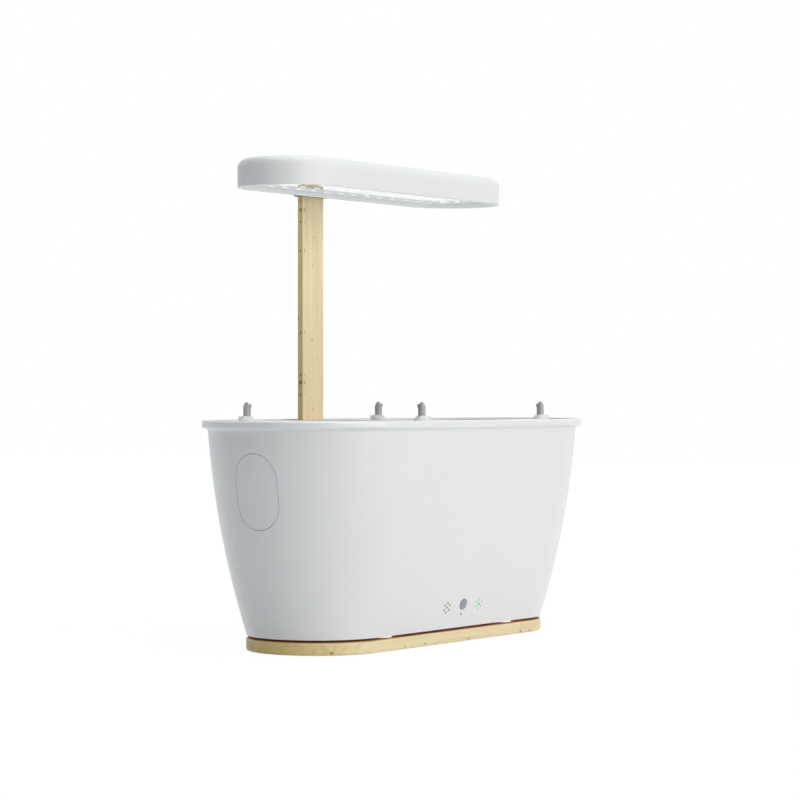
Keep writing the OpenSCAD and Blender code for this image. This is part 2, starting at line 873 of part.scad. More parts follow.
// a straight tube whose end bends towards the basket, with a rounded and slotted tip
module spout(i) {
    start = -deck_t - stem_len;
    nose = 2;
    tip_round = 1.4;
    slot_h = 1.8;
    lean_h = (spout_bend_r + tube_r - tip_round) * sin(spout_bend) + (nose - tip_round) * cos(spout_bend);
    rise = spout_h - lean_h - tip_round;
    tip_x = spout_bend_r * (1 - cos(spout_bend));
    tip_z = rise + spout_bend_r * sin(spout_bend);
    color("gray")
        translate([spout_at[i][0], spout_at[i][1], deck_top])
            rotate([0, 0, spout_turn[i]])
                difference() {
                    union() {
                        translate([0, 0, start]) cylinder(r = tube_r, h = rise - start);
                        translate([spout_bend_r, 0, rise])
                            rotate([90, 0, 180])
                                rotate_extrude(angle = spout_bend)
                                    translate([spout_bend_r, 0]) circle(tube_r);
                        translate([tip_x, 0, tip_z])
                            rotate([0, spout_bend, 0])
                                rotate_extrude() {
                                    square([tube_r, nose - tip_round]);
                                    square([tube_r - tip_round, nose]);
                                    translate([tube_r - tip_round, nose - tip_round]) circle(tip_round);
                                }
                    }
                    translate([0, 0, start - 1]) cylinder(d = spout_bore, h = rise - start + 2);
                    translate([tip_x, 0, tip_z])
                        rotate([0, spout_bend, 0]) {
                            translate([0, 0, -2 * nose]) cylinder(d = spout_bore, h = 4 * nose);
                            translate([-spout_slot / 2, -tube_r - 1, nose - slot_h])
                                cube([spout_slot, 2 * tube_r + 2, slot_h + 1]);
                        }
                }
}

// the white feet that the spouts turn in: low cones, each with a square lug at the back
module spout_feet() {
    r = spout_foot_d / 2;
    edge = 1;
    lug = [r - 0.3, 4, spout_foot_h - 0.3];
    color("white")
        for (i = [0:3])
            translate([spout_at[i][0], spout_at[i][1], deck_top])
                rotate([0, 0, spout_turn[i]])
                    difference() {
                        union() {
                            rotate_extrude()
                                polygon([[0, 0], [r, 0], [r, edge],
                                         [tube_r + 1, spout_foot_h], [0, spout_foot_h]]);
                            translate([-lug[0], -lug[1] / 2, 0]) cube(lug);
                        }
                        translate([0, 0, -1]) cylinder(r = tube_r + fit, h = spout_foot_h + 2);
                    }
}

module spout_1() spout(0);

module spout_2() spout(1);

module spout_3() spout(2);

module spout_4() spout(3);

// ---- grow baskets ----

module basket(side) {
    drop = basket_depth - flange_t;
    slot_h = basket_depth - 26;
    slot_z = -basket_depth + 10;
    drain_d = 5;
    lean = atan2(basket_r - basket_foot_r, drop);
    color("silver")
        translate([side * basket_x, 0, deck_top])
            difference() {
                rotate_extrude($fn = 128)
                    polygon([[0, -basket_depth], [basket_foot_r, -basket_depth], [basket_r, -flange_t],
                             [flange_r, -flange_t], [flange_r, 0], [basket_r - basket_wall, 0],
                             [basket_foot_r - basket_wall, -basket_depth + basket_wall],
                             [0, -basket_depth + basket_wall]]);
                for (k = [0:wall_slots - 1])
                    rotate([0, 0, (k + 0.5) * 360 / wall_slots])
                        translate([basket_foot_r, 0, slot_z])
                            rotate([0, lean, 0]) translate([-6, -slot_w / 2, 0]) cube([12, slot_w, slot_h]);
                for (ring = [1:3], k = [0:4 * ring - 1])
                    rotate([0, 0, k * 90 / ring])
                        translate([ring * basket_foot_r / 4, 0, -basket_depth - 1])
                            cylinder(d = drain_d, h = basket_wall + 2, $fn = 24);
            }
}

module basket_left() basket(-1);

module basket_right() basket(1);

// ---- post and lamp ----

module post() {
    edge = 0.8;
    color("burlywood")
        translate([post_x, post_mid, post_z]) rounded_box([post_w, post_t, post_top - post_z], edge);
}

module at_lamp_bosses() {
    for (x = lamp_boss_x, s = [-1, 1]) translate([x, lamp_mid + s * lamp_boss_y, 0]) children();
}

module lamp_housing() {
    skin = lamp_z + lamp_h - lamp_wall;
    inner_round = lamp_round - lamp_wall + 1;
    color("whitesmoke")
        difference() {
            union() {
                translate([0, lamp_mid, lamp_z])
                    stadium_sweep(lamp_end_x)
                        difference() {
                            slab_profile(lamp_r, lamp_h, lamp_round, 0.8);
                            translate([0, -1])
                                slab_profile(lamp_r - lamp_wall, lamp_h - lamp_wall + 1, inner_round, 0.1);
                        }
                at_lamp_bosses()
                    translate([0, 0, led_z + plate_t]) cylinder(r = 4, h = skin - led_z - plate_t + 1);
            }
            at_lamp_bosses() translate([0, 0, led_z]) cylinder(r = 1.5 + screw_gap, h = 9);
            at_collar_screws() cylinder(r = 1.5 + screw_gap, h = 4 * lamp_wall, center = true);
            translate([lamp_jack_x, lamp_back, lamp_z + lamp_h / 2])
                rotate([90, 0, 0]) cylinder(r = lamp_jack_r + screw_gap, h = 4 * lamp_wall, center = true);
        }
}

module led_plate() {
    color("white")
        difference() {
            translate([0, lamp_mid, led_z])
                linear_extrude(plate_t) stadium(lamp_end_x, lamp_r - lamp_wall - 0.2);
            at_lamp_bosses() translate([0, 0, led_z - 1]) cylinder(r = 1.5 + screw_gap, h = plate_t + 2);
        }
}

module leds() {
    color("white")
        for (row = [0:led_rows - 1], i = [-led_n:led_n - 1])
            translate([(i + 0.5) * led_pitch - led[0] / 2,
                       lamp_mid + (row - (led_rows - 1) / 2) * led_row - led[1] / 2,
                       led_z - led[2]])
                cube(led);
}

module lamp_driver() {
    color("seagreen")
        translate([driver_x - driver[0] / 2, lamp_mid - driver[1] / 2, led_z + plate_t])
            cube([driver[0], driver[1], lamp_h - lamp_wall - led_depth - plate_t - 2]);
}

module lamp_screws() {
    color("silver") at_lamp_bosses() translate([0, 0, led_z]) screw(1.5, 8, 3, 1.4);
}

lamp_jack_x = 20;
lamp_jack_r = 3.5;

module lamp_inlet() {
    depth = 10;
    color("black")
        translate([lamp_jack_x, lamp_back, lamp_z + lamp_h / 2])
            rotate([-90, 0, 0])
                difference() {
                    union() {
                        translate([0, 0, -depth]) cylinder(r = lamp_jack_r, h = depth);
                        cylinder(r = 5, h = 1);
                    }
                    translate([0, 0, -depth + 3])
                        difference() {
                            cylinder(r = 2, h = depth);
                            cylinder(r = 0.7, h = depth - 4);
                        }
                }
}

module at_collar_screws() {
    for (s = [-1, 1])
        translate([post_x + s * 9, lamp_back - lamp_wall, lamp_z + lamp_h / 2])
            rotate([-90, 0, 0]) children();
}

module collar_screws() {
    color("silver") at_collar_screws() screw(1.5, lamp_wall + sleeve_wall - 0.2, 3, 2);
}

pad = [20, 1.6, 12];

module at_collar_pad() {
    translate([post_x - pad[0] / 2, post_front + post_t + 0.1, lamp_z + (lamp_collar_h - pad[2]) / 2])
        children();
}

module lamp_collar() {
    w = post_w + 2 * (collar_gap + sleeve_wall);
    t = post_t + 2 * (collar_gap + sleeve_wall);
    color("dimgray")
        difference() {
            translate([post_x - w / 2, lamp_back, lamp_z]) cube([w, t, lamp_collar_h]);
            translate([post_x - w / 2 + sleeve_wall, lamp_back + sleeve_wall, lamp_z - 1])
                cube([w - 2 * sleeve_wall, t - 2 * sleeve_wall, lamp_collar_h + 2]);
            at_collar_screws() cylinder(r = 1.5 + screw_gap, h = lamp_wall + sleeve_wall + 0.1);
            at_collar_pad() cube(pad);
        }
}

module collar_pad() {
    color("black") at_collar_pad() cube(pad);
}

plinth();
plinth_pads();
standoffs();
plinth_screws();
tub_shell();
reservoir();
post_socket();
socket_screws();
control_board();
board_screws();
tact_switch();
buzzer();
green_light();
dc_inlet();
lamp_outlet();
pump_body();
pump_feet();
riser_pipe();
float_stem();
float();
door_pin();
fill_door();
fill_chute();
button_cap();
button_stem();
deck();
manifold();
feed_hoses();
spout_bushes();
spout_feet();
spout_1();
spout_2();
spout_3();
spout_4();
basket_left();
basket_right();
post();
lamp_housing();
led_plate();
leds();
lamp_driver();
lamp_screws();
lamp_collar();
collar_screws();
collar_pad();
lamp_inlet();
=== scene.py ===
"""Countertop hydroponic garden around its CAD frame, in metres: +X along the tub, -Y to the front."""
import json
import math

import bmesh
import bpy
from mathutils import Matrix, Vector


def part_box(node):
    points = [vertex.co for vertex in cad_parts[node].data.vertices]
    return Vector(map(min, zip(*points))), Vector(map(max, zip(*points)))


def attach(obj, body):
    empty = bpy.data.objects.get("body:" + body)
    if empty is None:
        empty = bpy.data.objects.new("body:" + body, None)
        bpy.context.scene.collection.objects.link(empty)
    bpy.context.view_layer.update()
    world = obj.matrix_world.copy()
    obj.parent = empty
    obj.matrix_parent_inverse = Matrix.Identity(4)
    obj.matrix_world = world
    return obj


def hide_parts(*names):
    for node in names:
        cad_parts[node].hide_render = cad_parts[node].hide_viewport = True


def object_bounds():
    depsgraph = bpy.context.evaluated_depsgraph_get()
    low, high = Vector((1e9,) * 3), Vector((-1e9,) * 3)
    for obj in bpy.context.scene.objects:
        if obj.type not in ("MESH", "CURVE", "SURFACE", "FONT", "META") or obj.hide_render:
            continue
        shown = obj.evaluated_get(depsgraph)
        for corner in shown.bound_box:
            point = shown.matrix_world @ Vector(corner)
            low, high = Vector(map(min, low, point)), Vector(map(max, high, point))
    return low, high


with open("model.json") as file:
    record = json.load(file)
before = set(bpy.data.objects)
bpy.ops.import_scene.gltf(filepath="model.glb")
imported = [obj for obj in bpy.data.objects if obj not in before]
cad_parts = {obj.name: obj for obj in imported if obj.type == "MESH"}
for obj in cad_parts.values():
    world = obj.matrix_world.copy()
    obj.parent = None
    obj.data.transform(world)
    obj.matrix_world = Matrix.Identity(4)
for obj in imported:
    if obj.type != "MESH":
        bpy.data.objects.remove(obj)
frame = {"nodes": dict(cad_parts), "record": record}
nodes = frame["nodes"]
cad_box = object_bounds()

# ---------------------------------------------------------------------------
# Camera, floor and light
# A long lens a little above the tub's rim, on the left front corner. A white sweep, a broad soft lamp
# low in front, a second one overhead and a faint cool sky.
# ---------------------------------------------------------------------------
view = bpy.context.scene.view_settings
view.view_transform = "Standard"

camera_data = bpy.data.cameras.new("camera")
camera_data.sensor_width = 36.0
camera_data.lens = 121.6
camera_data.shift_y = -3.1 / 800
camera_data.clip_end = 50.0
camera = bpy.data.objects.new("camera", camera_data)
bpy.context.scene.collection.objects.link(camera)
camera.location = (-2.013, -1.365, 0.218)
camera.rotation_euler = Vector((0.8278, 0.5611, 0.0)).to_track_quat("-Z", "Y").to_euler()
bpy.context.scene.camera = camera


def studio_lamp(name, energy, spread, color, way):
    """A far, round softbox: spread is its width in degrees and way the direction its light travels."""
    data = bpy.data.lights.new(name, "SUN")
    data.energy = energy
    data.angle = math.radians(spread)
    data.color = color
    made = bpy.data.objects.new(name, data)
    bpy.context.scene.collection.objects.link(made)
    made.rotation_euler = Vector(way).to_track_quat("-Z", "Y").to_euler()


studio_lamp("key", 2.33, 60, (1.0, 0.97, 0.945), (0.03, 0.985, -0.14))
studio_lamp("overhead", 1.95, 60, (0.9, 0.965, 1.0), (0.0, 0.0, -1.0))


def feed(socket, value):
    """Links an output, or a node's first output, to a socket, or sets the socket to a plain value."""
    if isinstance(value, bpy.types.Node):
        value = value.outputs[0]
    if isinstance(value, bpy.types.NodeSocket):
        socket.id_data.links.new(value, socket)
    else:
        socket.default_value = value


def fill(node, **values):
    """Feeds a node's sockets by name, and sets its settings where it has no such socket."""
    for name, value in values.items():
        socket = node.inputs.get(name.replace("_", " "))
        if socket is None:
            setattr(node, name, value)
        else:
            feed(socket, value)
    return node


def put(tree, kind, *inputs, **values):
    """A node of that kind, its inputs fed in their order and its values by name."""
    node = fill(tree.nodes.new(kind), **values)
    for socket, value in zip(node.inputs, inputs):
        feed(socket, value)
    return node


def calc(tree, operation, *inputs, kind="ShaderNodeMath", **settings):
    """One step of arithmetic on outputs or numbers; returns its result."""
    made = put(tree, kind, *inputs, operation=operation, **settings)
    return next(socket for socket in made.outputs if socket.enabled)


def in_view(tree):
    """1 where the camera or a reflection looks, 0 for the light that falls on the object."""
    path = put(tree, "ShaderNodeLightPath").outputs
    return calc(tree, "MAXIMUM", path["Is Camera Ray"], path["Is Glossy Ray"])


def new_material(name, **sockets):
    """A material with its tree, its Principled shader and its texture coordinates."""
    made = bpy.data.materials.new(name)
    made.use_nodes = True
    tree = made.node_tree
    return made, tree, fill(tree.nodes["Principled BSDF"], **sockets), put(tree, "ShaderNodeTexCoord").outputs


def mesh_object(name, mesh):
    """A mesh as an object of the scene."""
    made = bpy.data.objects.new(name, mesh)
    bpy.context.scene.collection.objects.link(made)
    return made


world = bpy.data.worlds.new("studio")
bpy.context.scene.world = world
world.use_nodes = True
sky = world.node_tree
sky.nodes.clear()
sky_light = put(sky, "ShaderNodeBackground", Color=(0.88, 0.955, 1.0, 1), Strength=0.1)
sky_seen = put(sky, "ShaderNodeBackground", Color=(1, 1, 1, 1))
sky_mix = put(sky, "ShaderNodeMixShader", in_view(sky), sky_light, sky_seen)
put(sky, "ShaderNodeOutputWorld", Surface=sky_mix)

floor_mesh = bpy.data.meshes.new("floor")
floor_half = 6.0
floor_z = cad_box[0][2] - 0.0002
floor_corners = [(x * floor_half, y * floor_half, floor_z) for x, y in ((-1, -1), (1, -1), (1, 1), (-1, 1))]
floor_mesh.from_pydata(floor_corners, [], [(0, 1, 2, 3)])
floor = mesh_object("floor", floor_mesh)
floor_paint, tree, shader, place = new_material(
    "floor_white", Base_Color=(0.88, 0.88, 0.88, 1), Roughness=0.9, Specular_IOR_Level=0.0
)
floor_glow = put(tree, "ShaderNodeEmission", Color=(1, 1, 1, 1), Strength=1.03)
glow_share = calc(tree, "MULTIPLY", in_view(tree), 0.93)
floor_mix = put(tree, "ShaderNodeMixShader", glow_share, shader, floor_glow)
fill(tree.nodes["Material Output"], Surface=floor_mix)
floor.data.materials.append(floor_paint)


# ---------------------------------------------------------------------------
# Plinth
# A board of pale pine, sawn to the tub's oval, its edges rounded. Painted shade darkens it: a deeper amber on
# faces turned along x, such as its ends, and a deep brown on its top, which lies in the shade under the tub.
# A row of pin knots runs low along the edge.
# ---------------------------------------------------------------------------
def group(name, inputs, outputs, kind="ShaderNodeTree"):
    """An empty node group with its sockets' names and types; returns it, what enters and its output node."""
    made = bpy.data.node_groups.new(name, kind)
    for way, sockets in (("OUTPUT", outputs), ("INPUT", inputs)):
        for label, holds in sockets.items():
            made.interface.new_socket(label.replace("_", " "), in_out=way, socket_type="NodeSocket" + holds)
    return made, put(made, "NodeGroupInput").outputs, put(made, "NodeGroupOutput")


def copy_of(tree, made, **values):
    """What comes out of a group placed in a material's tree, with its values."""
    return put(tree, "ShaderNodeGroup", node_tree=made, **values).outputs


def mixed(tree, share, first, second):
    """Two colours mixed by a share; each may be an output or a plain colour."""
    return put(tree, "ShaderNodeMix", data_type="RGBA", Factor=share, A=first, B=second).outputs["Result"]


def ranged(tree, value, low, high, to_low=0.0, to_high=1.0):
    """Value carried from one range to another, held at both ends."""
    return put(tree, "ShaderNodeMapRange", value, low, high, to_low, to_high)


wood_grain, enter, leave = group(
    "wood_grain",
    {
        "Along": "Vector",
        "Face": "Vector",
        "Pale": "Color",
        "Warm": "Color",
        "Streak": "Color",
        "Oiled": "Color",
        "Covered": "Color",
    },
    {"Color": "Color", "Roughness": "Float", "Height": "Float"},
)


def grain_noise(scale, detail, rough, twist=0.0):
    """Noise drawn out along the board's length, in metres along x."""
    stretch = put(wood_grain, "ShaderNodeMapping", vector_type="POINT", Vector=enter["Along"], Scale=scale)
    return put(
        wood_grain,
        "ShaderNodeTexNoise",
        Vector=stretch,
        Scale=1.0,
        Detail=detail,
        Roughness=rough,
        Distortion=twist,
    )


bands = ranged(wood_grain, grain_noise((3.0, 75.0, 75.0), 2.0, 0.5), 0.38, 0.62)
rings = ranged(wood_grain, grain_noise((7.0, 210.0, 210.0), 3.0, 0.55, 0.4), 0.46, 0.74, 0.0, 0.55)
fibre = ranged(wood_grain, grain_noise((40.0, 1500.0, 1500.0), 4.0, 0.65), 0.38, 0.75)
fibre_share = ranged(wood_grain, fibre, 0.0, 1.0, 0.0, 0.22)
facing = put(wood_grain, "ShaderNodeSeparateXYZ", enter["Face"]).outputs
# painted shade: faces turned along x take a darker, more saturated tone
side_shade = ranged(wood_grain, calc(wood_grain, "ABSOLUTE", facing["X"]), 0.35, 0.95)
# painted shade: faces looking up take a deep brown, for the shade under the tub
top_shade = ranged(wood_grain, facing["Z"], 0.55, 0.95)
tone = mixed(wood_grain, bands, enter["Pale"], enter["Warm"])
for share, colour in ((side_shade, "Oiled"), (top_shade, "Covered"), (rings, "Streak"), (fibre_share, "Streak")):
    tone = mixed(wood_grain, share, tone, enter[colour])
fill(leave, Color=tone, Roughness=ranged(wood_grain, fibre, 0.0, 1.0, 0.44, 0.62), Height=fibre)

# one pin knot: a dark oval, drawn out along the grain and uneven at its edge
pin_knot, enter, leave = group(
    "pin_knot", {"Place": "Vector", "Centre": "Vector", "Size": "Vector", "Depth": "Float"}, {"Mask": "Float"}
)


def vector_calc(tree, operation, *inputs):
    """One step of vector arithmetic."""
    return calc(tree, operation, *inputs, kind="ShaderNodeVectorMath")


knot_noise = put(pin_knot, "ShaderNodeTexNoise", Vector=enter["Place"], Scale=420.0, Detail=2.0).outputs
shake = 0.0016
shaken = vector_calc(pin_knot, "MULTIPLY_ADD", knot_noise["Color"], (shake, shake, shake), enter["Place"])
from_centre = vector_calc(pin_knot, "SUBTRACT", shaken, enter["Centre"])
knot_far = vector_calc(pin_knot, "LENGTH", vector_calc(pin_knot, "DIVIDE", from_centre, enter["Size"]))
fill(leave, Mask=calc(pin_knot, "MULTIPLY", ranged(pin_knot, knot_far, 1.25, 0.45), enter["Depth"]))
# the shake's mean is half of it, so a knot's centre is moved by as much
knot_shift = shake / 2
knot_brown = (0.27, 0.14, 0.045, 1)


def wood(name, turn, knots, reach, **tones):
    """Pine with painted shade on faces turned along x and on faces looking up: turn lays the grain along the
    piece, knots are (x, y, z, radius, depth) in millimetres and reach says how much longer than wide a knot
    is along each axis."""
    made, tree, shader, place = new_material(name, Specular_IOR_Level=0.35)
    along = put(tree, "ShaderNodeMapping", vector_type="POINT", Vector=place["Object"], Rotation=turn)
    grain = copy_of(tree, wood_grain, Along=along, Face=place["Normal"], **tones)
    dark = 0.0
    for x, y, z, radius, depth in knots:
        centre = [v / 1000 + knot_shift for v in (x, y, z)]
        size = [radius * r / 1000 for r in reach]
        knot = copy_of(tree, pin_knot, Place=place["Object"], Centre=centre, Size=size, Depth=depth)
        dark = calc(tree, "MAXIMUM", dark, knot["Mask"])
    fill(
        shader,
        Base_Color=mixed(tree, dark, grain["Color"], knot_brown),
        Roughness=grain["Roughness"],
        Normal=put(tree, "ShaderNodeBump", Strength=0.2, Distance=0.0002, Height=grain["Height"]),
    )
    return made


def dress(material, *names):
    """Gives CAD nodes their finish."""
    for name in names:
        slots = nodes[name].data.materials
        slots.clear()
        slots.append(material)


edge_knots = [
    (-184, 19, 3, 1.1, 0.75),
    (-187, 1, 2.5, 0.9, 0.5),
    (-178, -33, 2.8, 0.9, 0.5),
    (-168, -45, 2.7, 1.3, 0.95),
    (-139, -60, 3.4, 0.8, 0.5),
    (-83, -62, 3.1, 1.1, 0.75),
    (-52, -62, 3.3, 1.1, 0.8),
    (-35, -62, 1.2, 1.2, 0.5),
    (18, -62, 2.4, 1.0, 0.75),
    (53, -62, 3.5, 0.8, 0.5),
    (107, -62, 2.6, 1.3, 0.8),
    (123, -62, 2.3, 1.2, 0.75),
    (70, 62, 4.0, 1.2, 0.8),
    (-40, 62, 5.5, 1.0, 0.6),
    (180, 20, 3.0, 1.1, 0.7),
]
dress(
    wood(
        "pine_plinth",
        (0, 0, 0),
        edge_knots,
        (1.5, 1.2, 0.8),
        Pale=(0.87, 0.765, 0.485, 1),
        Warm=(0.86, 0.725, 0.455, 1),
        Streak=(0.62, 0.46, 0.22, 1),
        # painted shade for faces turned along x, such as the ends
        Oiled=(0.80, 0.61, 0.27, 1),
        # painted shade for the top, which lies under the tub
        Covered=(0.62, 0.24, 0.065, 1),
    ),
    "plinth",
)


# ---------------------------------------------------------------------------
# Plinth's pads, standoffs and screws
# Four round rubber pads lie in shallow pockets. Four spacers of milky white hold the tub off the board; they
# glow faintly, painted light that keeps them bright in the shade of the gap. Cross-recessed screws go up
# through them, sunk deep in the wood from below.
# ---------------------------------------------------------------------------
moulded, enter, leave = group(
    "moulded_skin",
    {
        "Place": "Vector",
        "Color": "Color",
        "Grain": "Float",
        "Roughness": "Float",
        "Spread": "Float",
        "Edge": "Float",
    },
    {"Color": "Color", "Roughness": "Float", "Height": "Float", "Normal": "Vector"},
)
fine = put(
    moulded, "ShaderNodeTexNoise", Vector=enter["Place"], Scale=enter["Grain"], Detail=2.0, Roughness=0.6
)
cloud = put(moulded, "ShaderNodeTexNoise", Vector=enter["Place"], Scale=14.0, Detail=3.0, Roughness=0.5)
cloudy = calc(moulded, "MULTIPLY", ranged(moulded, cloud, 0.25, 0.75, -0.5, 0.5), enter["Spread"])
# a small rounding for the light to catch at edges, where the colour is rubbed a little paler
rounding = put(moulded, "ShaderNodeBevel", samples=6, Radius=enter["Edge"])
true_face = put(moulded, "ShaderNodeNewGeometry").outputs["Normal"]
turning = vector_calc(moulded, "DOT_PRODUCT", rounding, true_face)
worn = calc(moulded, "MULTIPLY", ranged(moulded, turning, 0.985, 0.80, 0.0, 0.14), cloud)
fill(
    leave,
    Color=mixed(moulded, worn, enter["Color"], (1, 1, 1, 1)),
    Roughness=calc(moulded, "ADD", cloudy, enter["Roughness"], use_clamp=True),
    Height=fine,
    Normal=rounding,
)


def plastic(name, color, rough=0.45, spread=0.08, grain=2500.0, depth=0.06, edge=0.0006, **sockets):
    """Moulded plastic, rubber, foam or plated metal; sockets are set on the shader itself."""
    made, tree, shader, place = new_material(name, **sockets)
    skin = copy_of(
        tree,
        moulded,
        Place=place["Object"],
        Color=(*color, 1),
        Grain=grain,
        Roughness=rough,
        Spread=spread,
        Edge=edge,
    )
    lift = put(tree, "ShaderNodeBump", Strength=depth, Distance=0.0001)
    fill(lift, Height=skin["Height"], Normal=skin["Normal"])
    fill(shader, Base_Color=skin["Color"], Roughness=skin["Roughness"], Normal=lift)
    return made


def shape_tree(name, **inputs):
    """An empty geometry tree with a geometry input and output, and its own inputs as name=type."""
    return group(name, {"Geometry": "Geometry", **inputs}, {"Geometry": "Geometry"}, "GeometryNodeTree")


def grown(name, mesh, tree, **values):
    """The tree's shape on that mesh, as a plain mesh object without its modifier."""
    piece = mesh_object(name, mesh)
    modifier = piece.modifiers.new(name, "NODES")
    modifier.node_group = tree
    for item in tree.interface.items_tree:
        label = item.name.replace(" ", "_")
        if item.in_out == "INPUT" and label in values:
            modifier[item.identifier] = values[label]
    deps = bpy.context.evaluated_depsgraph_get()
    result = bpy.data.meshes.new_from_object(piece.evaluated_get(deps), depsgraph=deps)
    piece.modifiers.clear()
    piece.data = result
    result.name = name
    return piece


def spots(name, points, aims):
    """Loose vertices that carry the direction each copy points in."""
    mesh = bpy.data.meshes.new(name)
    mesh.from_pydata([tuple(p) for p in points], [], [])
    aim = mesh.attributes.new("aim", "FLOAT_VECTOR", "POINT")
    for value, direction in zip(aim.data, aims):
        value.vector = direction
    return mesh


def finished(tree, enter, leave, shape):
    """Ends a tree: its shape with all copies made real, in the finish handed in."""
    real = put(tree, "GeometryNodeRealizeInstances", shape)
    fill(leave, Geometry=put(tree, "GeometryNodeSetMaterial", Geometry=real, Material=enter["Finish"]))


def stand_on_spots(tree, enter, leave, shape):
    """Ends a tree with its shape on every spot, its z along the spot's aim."""
    aim = put(tree, "GeometryNodeInputNamedAttribute", data_type="FLOAT_VECTOR", Name="aim").outputs
    aligned = put(tree, "FunctionNodeAlignRotationToVector", axis="Z", Vector=aim["Attribute"])
    copies = put(
        tree, "GeometryNodeInstanceOnPoints", Points=enter["Geometry"], Instance=shape, Rotation=aligned
    )
    finished(tree, enter, leave, copies)


def cylinder(tree, vertices, radius, depth, segments=1):
    """An upright cylinder about the origin."""
    return put(
        tree,
        "GeometryNodeMeshCylinder",
        Vertices=vertices,
        Side_Segments=segments,
        Radius=radius,
        Depth=depth,
    )


def cut(tree, shape, *tools):
    """A shape less its tools."""
    made = put(tree, "GeometryNodeMeshBoolean", operation="DIFFERENCE", solver="EXACT", Mesh_1=shape)
    for tool in tools:
        feed(made.inputs["Mesh 2"], tool)
    return made


# a pan-head screw with a cross recess and a rolled thread, one on each spot, its head along the aim
screw_tree, enter, leave = shape_tree(
    "cross_screw",
    Head_Radius="Float",
    Head_Height="Float",
    Shank_Radius="Float",
    Shank_Length="Float",
    Thread_Pitch="Float",
    Thread_Steps="Int",
    Finish="Material",
)
part = put(screw_tree, "ShaderNodeSeparateXYZ", put(screw_tree, "GeometryNodeInputPosition")).outputs


def radial(source, factor):
    """The geometry with x and y scaled by a factor that may vary over it."""
    x, y = (calc(screw_tree, "MULTIPLY", part[axis], factor) for axis in "XY")
    together = put(screw_tree, "ShaderNodeCombineXYZ", x, y, part["Z"])
    return put(screw_tree, "GeometryNodeSetPosition", Geometry=source, Position=together)


def lifted(source, height):
    """The geometry moved up by half of a height, or down where the height is negative."""
    up = put(screw_tree, "ShaderNodeCombineXYZ", Z=calc(screw_tree, "MULTIPLY", height, 0.5))
    return put(screw_tree, "GeometryNodeTransform", Geometry=source, Translation=up)


crown = calc(screw_tree, "DIVIDE", part["Z"], enter["Head Height"])
head = cylinder(screw_tree, 32, enter["Head Radius"], enter["Head Height"], segments=5)
head_round = radial(head, ranged(screw_tree, crown, 0.0, 0.5, 1.0, 0.72))
blades = []
for long_way, short_way in ("XY", "YX"):
    sides = {
        long_way: calc(screw_tree, "MULTIPLY", enter["Head Radius"], 1.15),
        short_way: calc(screw_tree, "MULTIPLY", enter["Head Radius"], 0.26),
    }
    size = put(screw_tree, "ShaderNodeCombineXYZ", Z=enter["Head Height"], **sides)
    blade_up = calc(screw_tree, "MULTIPLY", enter["Head Height"], 1.9)
    blades.append(lifted(put(screw_tree, "GeometryNodeMeshCube", Size=size), blade_up))
turns_up = calc(screw_tree, "DIVIDE", part["Z"], enter["Thread Pitch"])
turns_round = calc(screw_tree, "DIVIDE", calc(screw_tree, "ARCTAN2", part["Y"], part["X"]), 2 * math.pi)
groove = calc(screw_tree, "PINGPONG", calc(screw_tree, "SUBTRACT", turns_up, turns_round), 0.5)
shank = cylinder(screw_tree, 20, enter["Shank Radius"], enter["Shank Length"], segments=enter["Thread Steps"])
shank_cut = radial(shank, ranged(screw_tree, groove, 0.05, 0.45, 1.0, 0.80))
drop = calc(screw_tree, "MULTIPLY", enter["Shank Length"], -1.0)
whole = put(screw_tree, "GeometryNodeJoinGeometry")
feed(whole.inputs[0], cut(screw_tree, lifted(head_round, enter["Head Height"]), *blades))
feed(whole.inputs[0], lifted(shank_cut, drop))
stand_on_spots(screw_tree, enter, leave, whole)
zinc = plastic(
    "screw_zinc", (0.6, 0.6, 0.62), rough=0.3, spread=0.2, grain=5000.0, depth=0.1, edge=0.0002, Metallic=1.0
)


def screws(name, node, body, points, aim, head, shank, finish=zinc):
    """Screws of one size in place of a CAD node: head is (radius, height) and shank (radius, length)."""
    pitch = shank[0] * 0.55
    piece = grown(
        name,
        spots(name, points, [aim] * len(points)),
        screw_tree,
        Head_Radius=head[0],
        Head_Height=head[1],
        Shank_Radius=shank[0],
        Shank_Length=shank[1],
        Thread_Pitch=pitch,
        Thread_Steps=max(8, round(4 * shank[1] / pitch)),
        Finish=finish,
    )
    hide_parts(node)
    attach(piece, body)


low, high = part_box("plinth_screws")
head_r, head_h = 0.004, 0.0026
screws(
    "plinth_cross_screws",
    "plinth_screws",
    "base",
    [
        (x, y, low.z + head_h)
        for x in (low.x + head_r, high.x - head_r)
        for y in (low.y + head_r, high.y - head_r)
    ],
    (0, 0, -1),
    (head_r, head_h),
    (0.0019, 0.022),
)
pad_rubber = plastic("pad_rubber", (0.03, 0.03, 0.03), rough=0.8, depth=0.3, grain=1800.0)
dress(pad_rubber, "plinth_pads")
# the spacers glow faintly: painted light that keeps them white in the shade of the gap
dress(plastic("spacer_white", (0.86, 0.86, 0.86), rough=0.5, Emission_Strength=0.6), "standoffs")

# ---------------------------------------------------------------------------
# Tub and filling door
# Injection-moulded white ABS with a fine satin texture, one shell from rim to foot. The door is the
# same plastic, follows the wall's bow with only a thin seam round it, and tilts on a steel pin.
# ---------------------------------------------------------------------------
def white_moulding(name, rough, edge, coat, **sockets):
    """Satin white plastic that lets a little light through its skin."""
    return plastic(
        name,
        (0.80, 0.80, 0.80),
        rough=rough,
        spread=0.06,
        edge=edge,
        Coat_Weight=coat,
        Coat_Roughness=0.34,
        Subsurface_Weight=0.35,
        Subsurface_Scale=0.002,
        Subsurface_Radius=(1.0, 1.0, 0.95),
        **sockets,
    )


dress(white_moulding("tub_white", rough=0.36, edge=0.0003, coat=0.6), "tub_shell", "fill_door")
dress(zinc, "door_pin")

